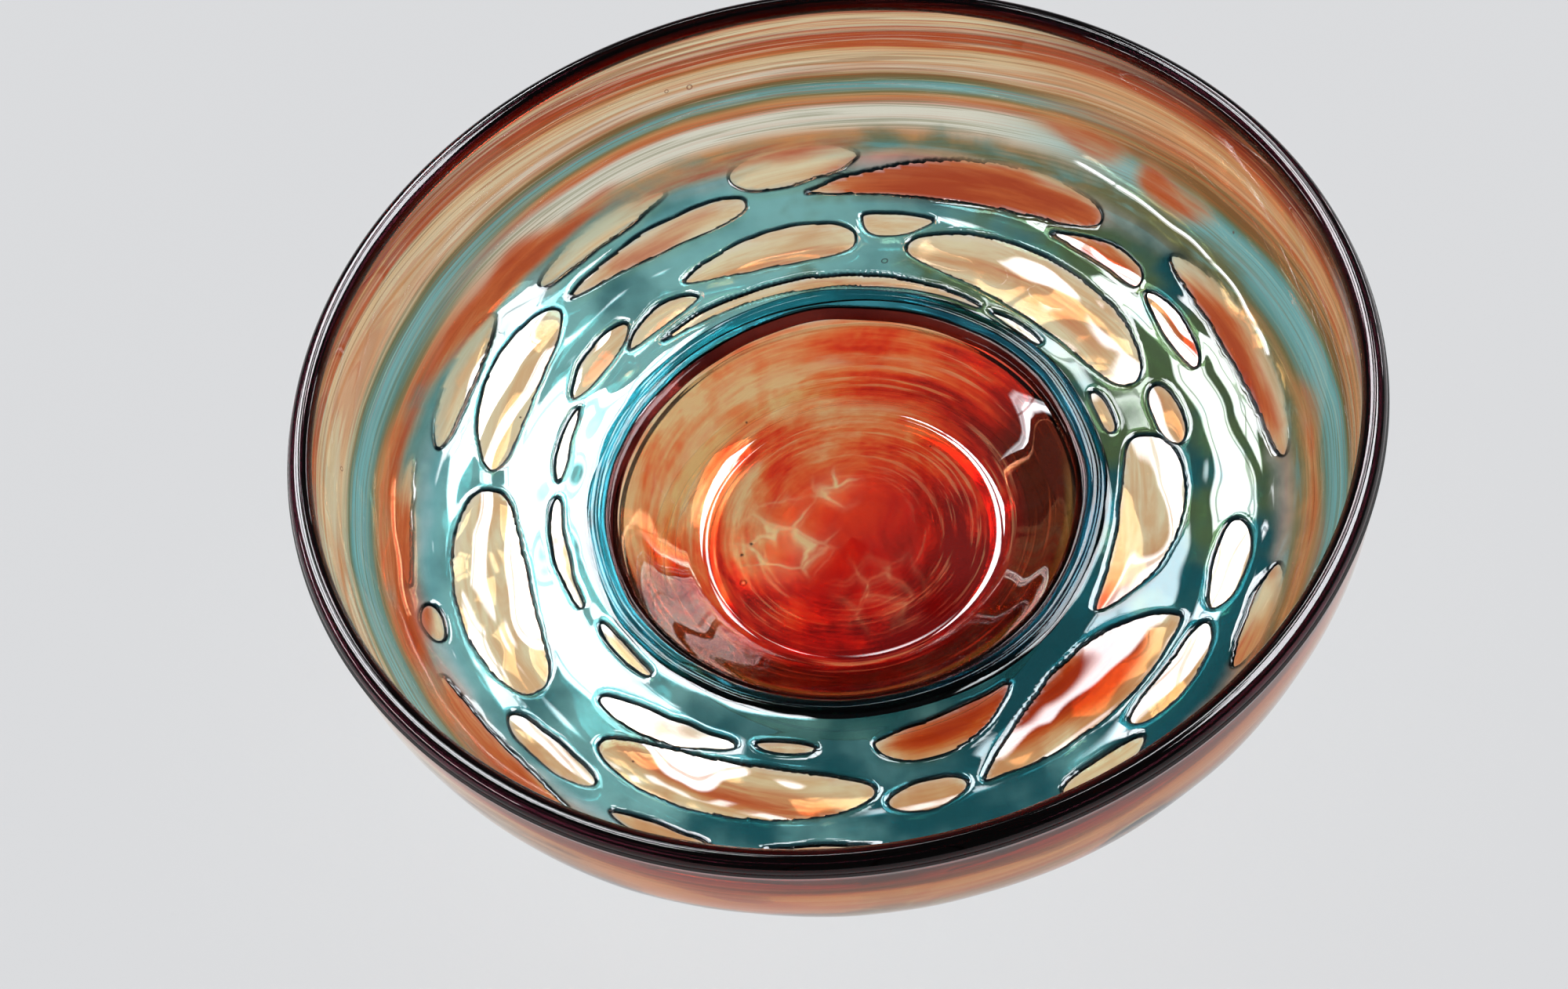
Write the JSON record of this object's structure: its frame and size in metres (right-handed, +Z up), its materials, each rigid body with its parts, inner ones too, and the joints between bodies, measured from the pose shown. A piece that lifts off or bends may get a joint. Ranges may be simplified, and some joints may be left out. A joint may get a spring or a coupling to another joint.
{
  "type": "art glass bowl",
  "caption": "Round blown glass bowl with a raised teal web inside, coloured wraps round the wall, a ringed central well, a dark lip and a low foot.",
  "frame": {"origin": "centre of the foot's underside, on the table", "axes": "+Z up along the bowl's axis; +X and +Y lie in the table plane, and the camera side is -Y"},
  "size_m": [0.23, 0.23, 0.078],
  "materials": {
    "clear_amber": "polished, faintly amber clear glass",
    "honey": "polished translucent honey glass",
    "well_red": "polished translucent orange-red glass with swirled veins",
    "foot_clear": "polished clear glass, ground on the underside",
    "oxblood": "glossy near-black oxblood glass",
    "teal": "glossy milky teal glass",
    "straw": "polished translucent straw glass",
    "rust": "polished translucent rust glass",
    "olive": "polished translucent olive glass",
    "cream": "polished translucent cream glass",
    "sky": "polished translucent pale blue glass",
    "sand": "polished translucent sand glass",
    "moss": "polished translucent moss-green glass",
    "amber": "polished translucent amber glass",
    "orange": "polished translucent orange-red glass",
    "pearl": "polished translucent pearl glass"
  },
  "bodies": {
    "root": {"gather": "clear_amber", "honey_underlay": "honey", "well_pad": "well_red", "foot": "foot_clear", "lip_wrap": "oxblood", "web": "teal", "shoulder_ring": "teal", "edge_thread": "oxblood", "teal_wrap": "teal", "straw_wrap": "straw", "rust_wrap": "rust", "olive_wrap": "olive", "cream_wrap": "cream", "sky_wrap": "sky", "sand_wrap": "sand", "moss_wrap": "moss", "amber_wrap": "amber", "orange_wrap": "orange", "pearl_wrap": "pearl", "oxblood_wrap": "oxblood"}
  },
  "joints": []
}
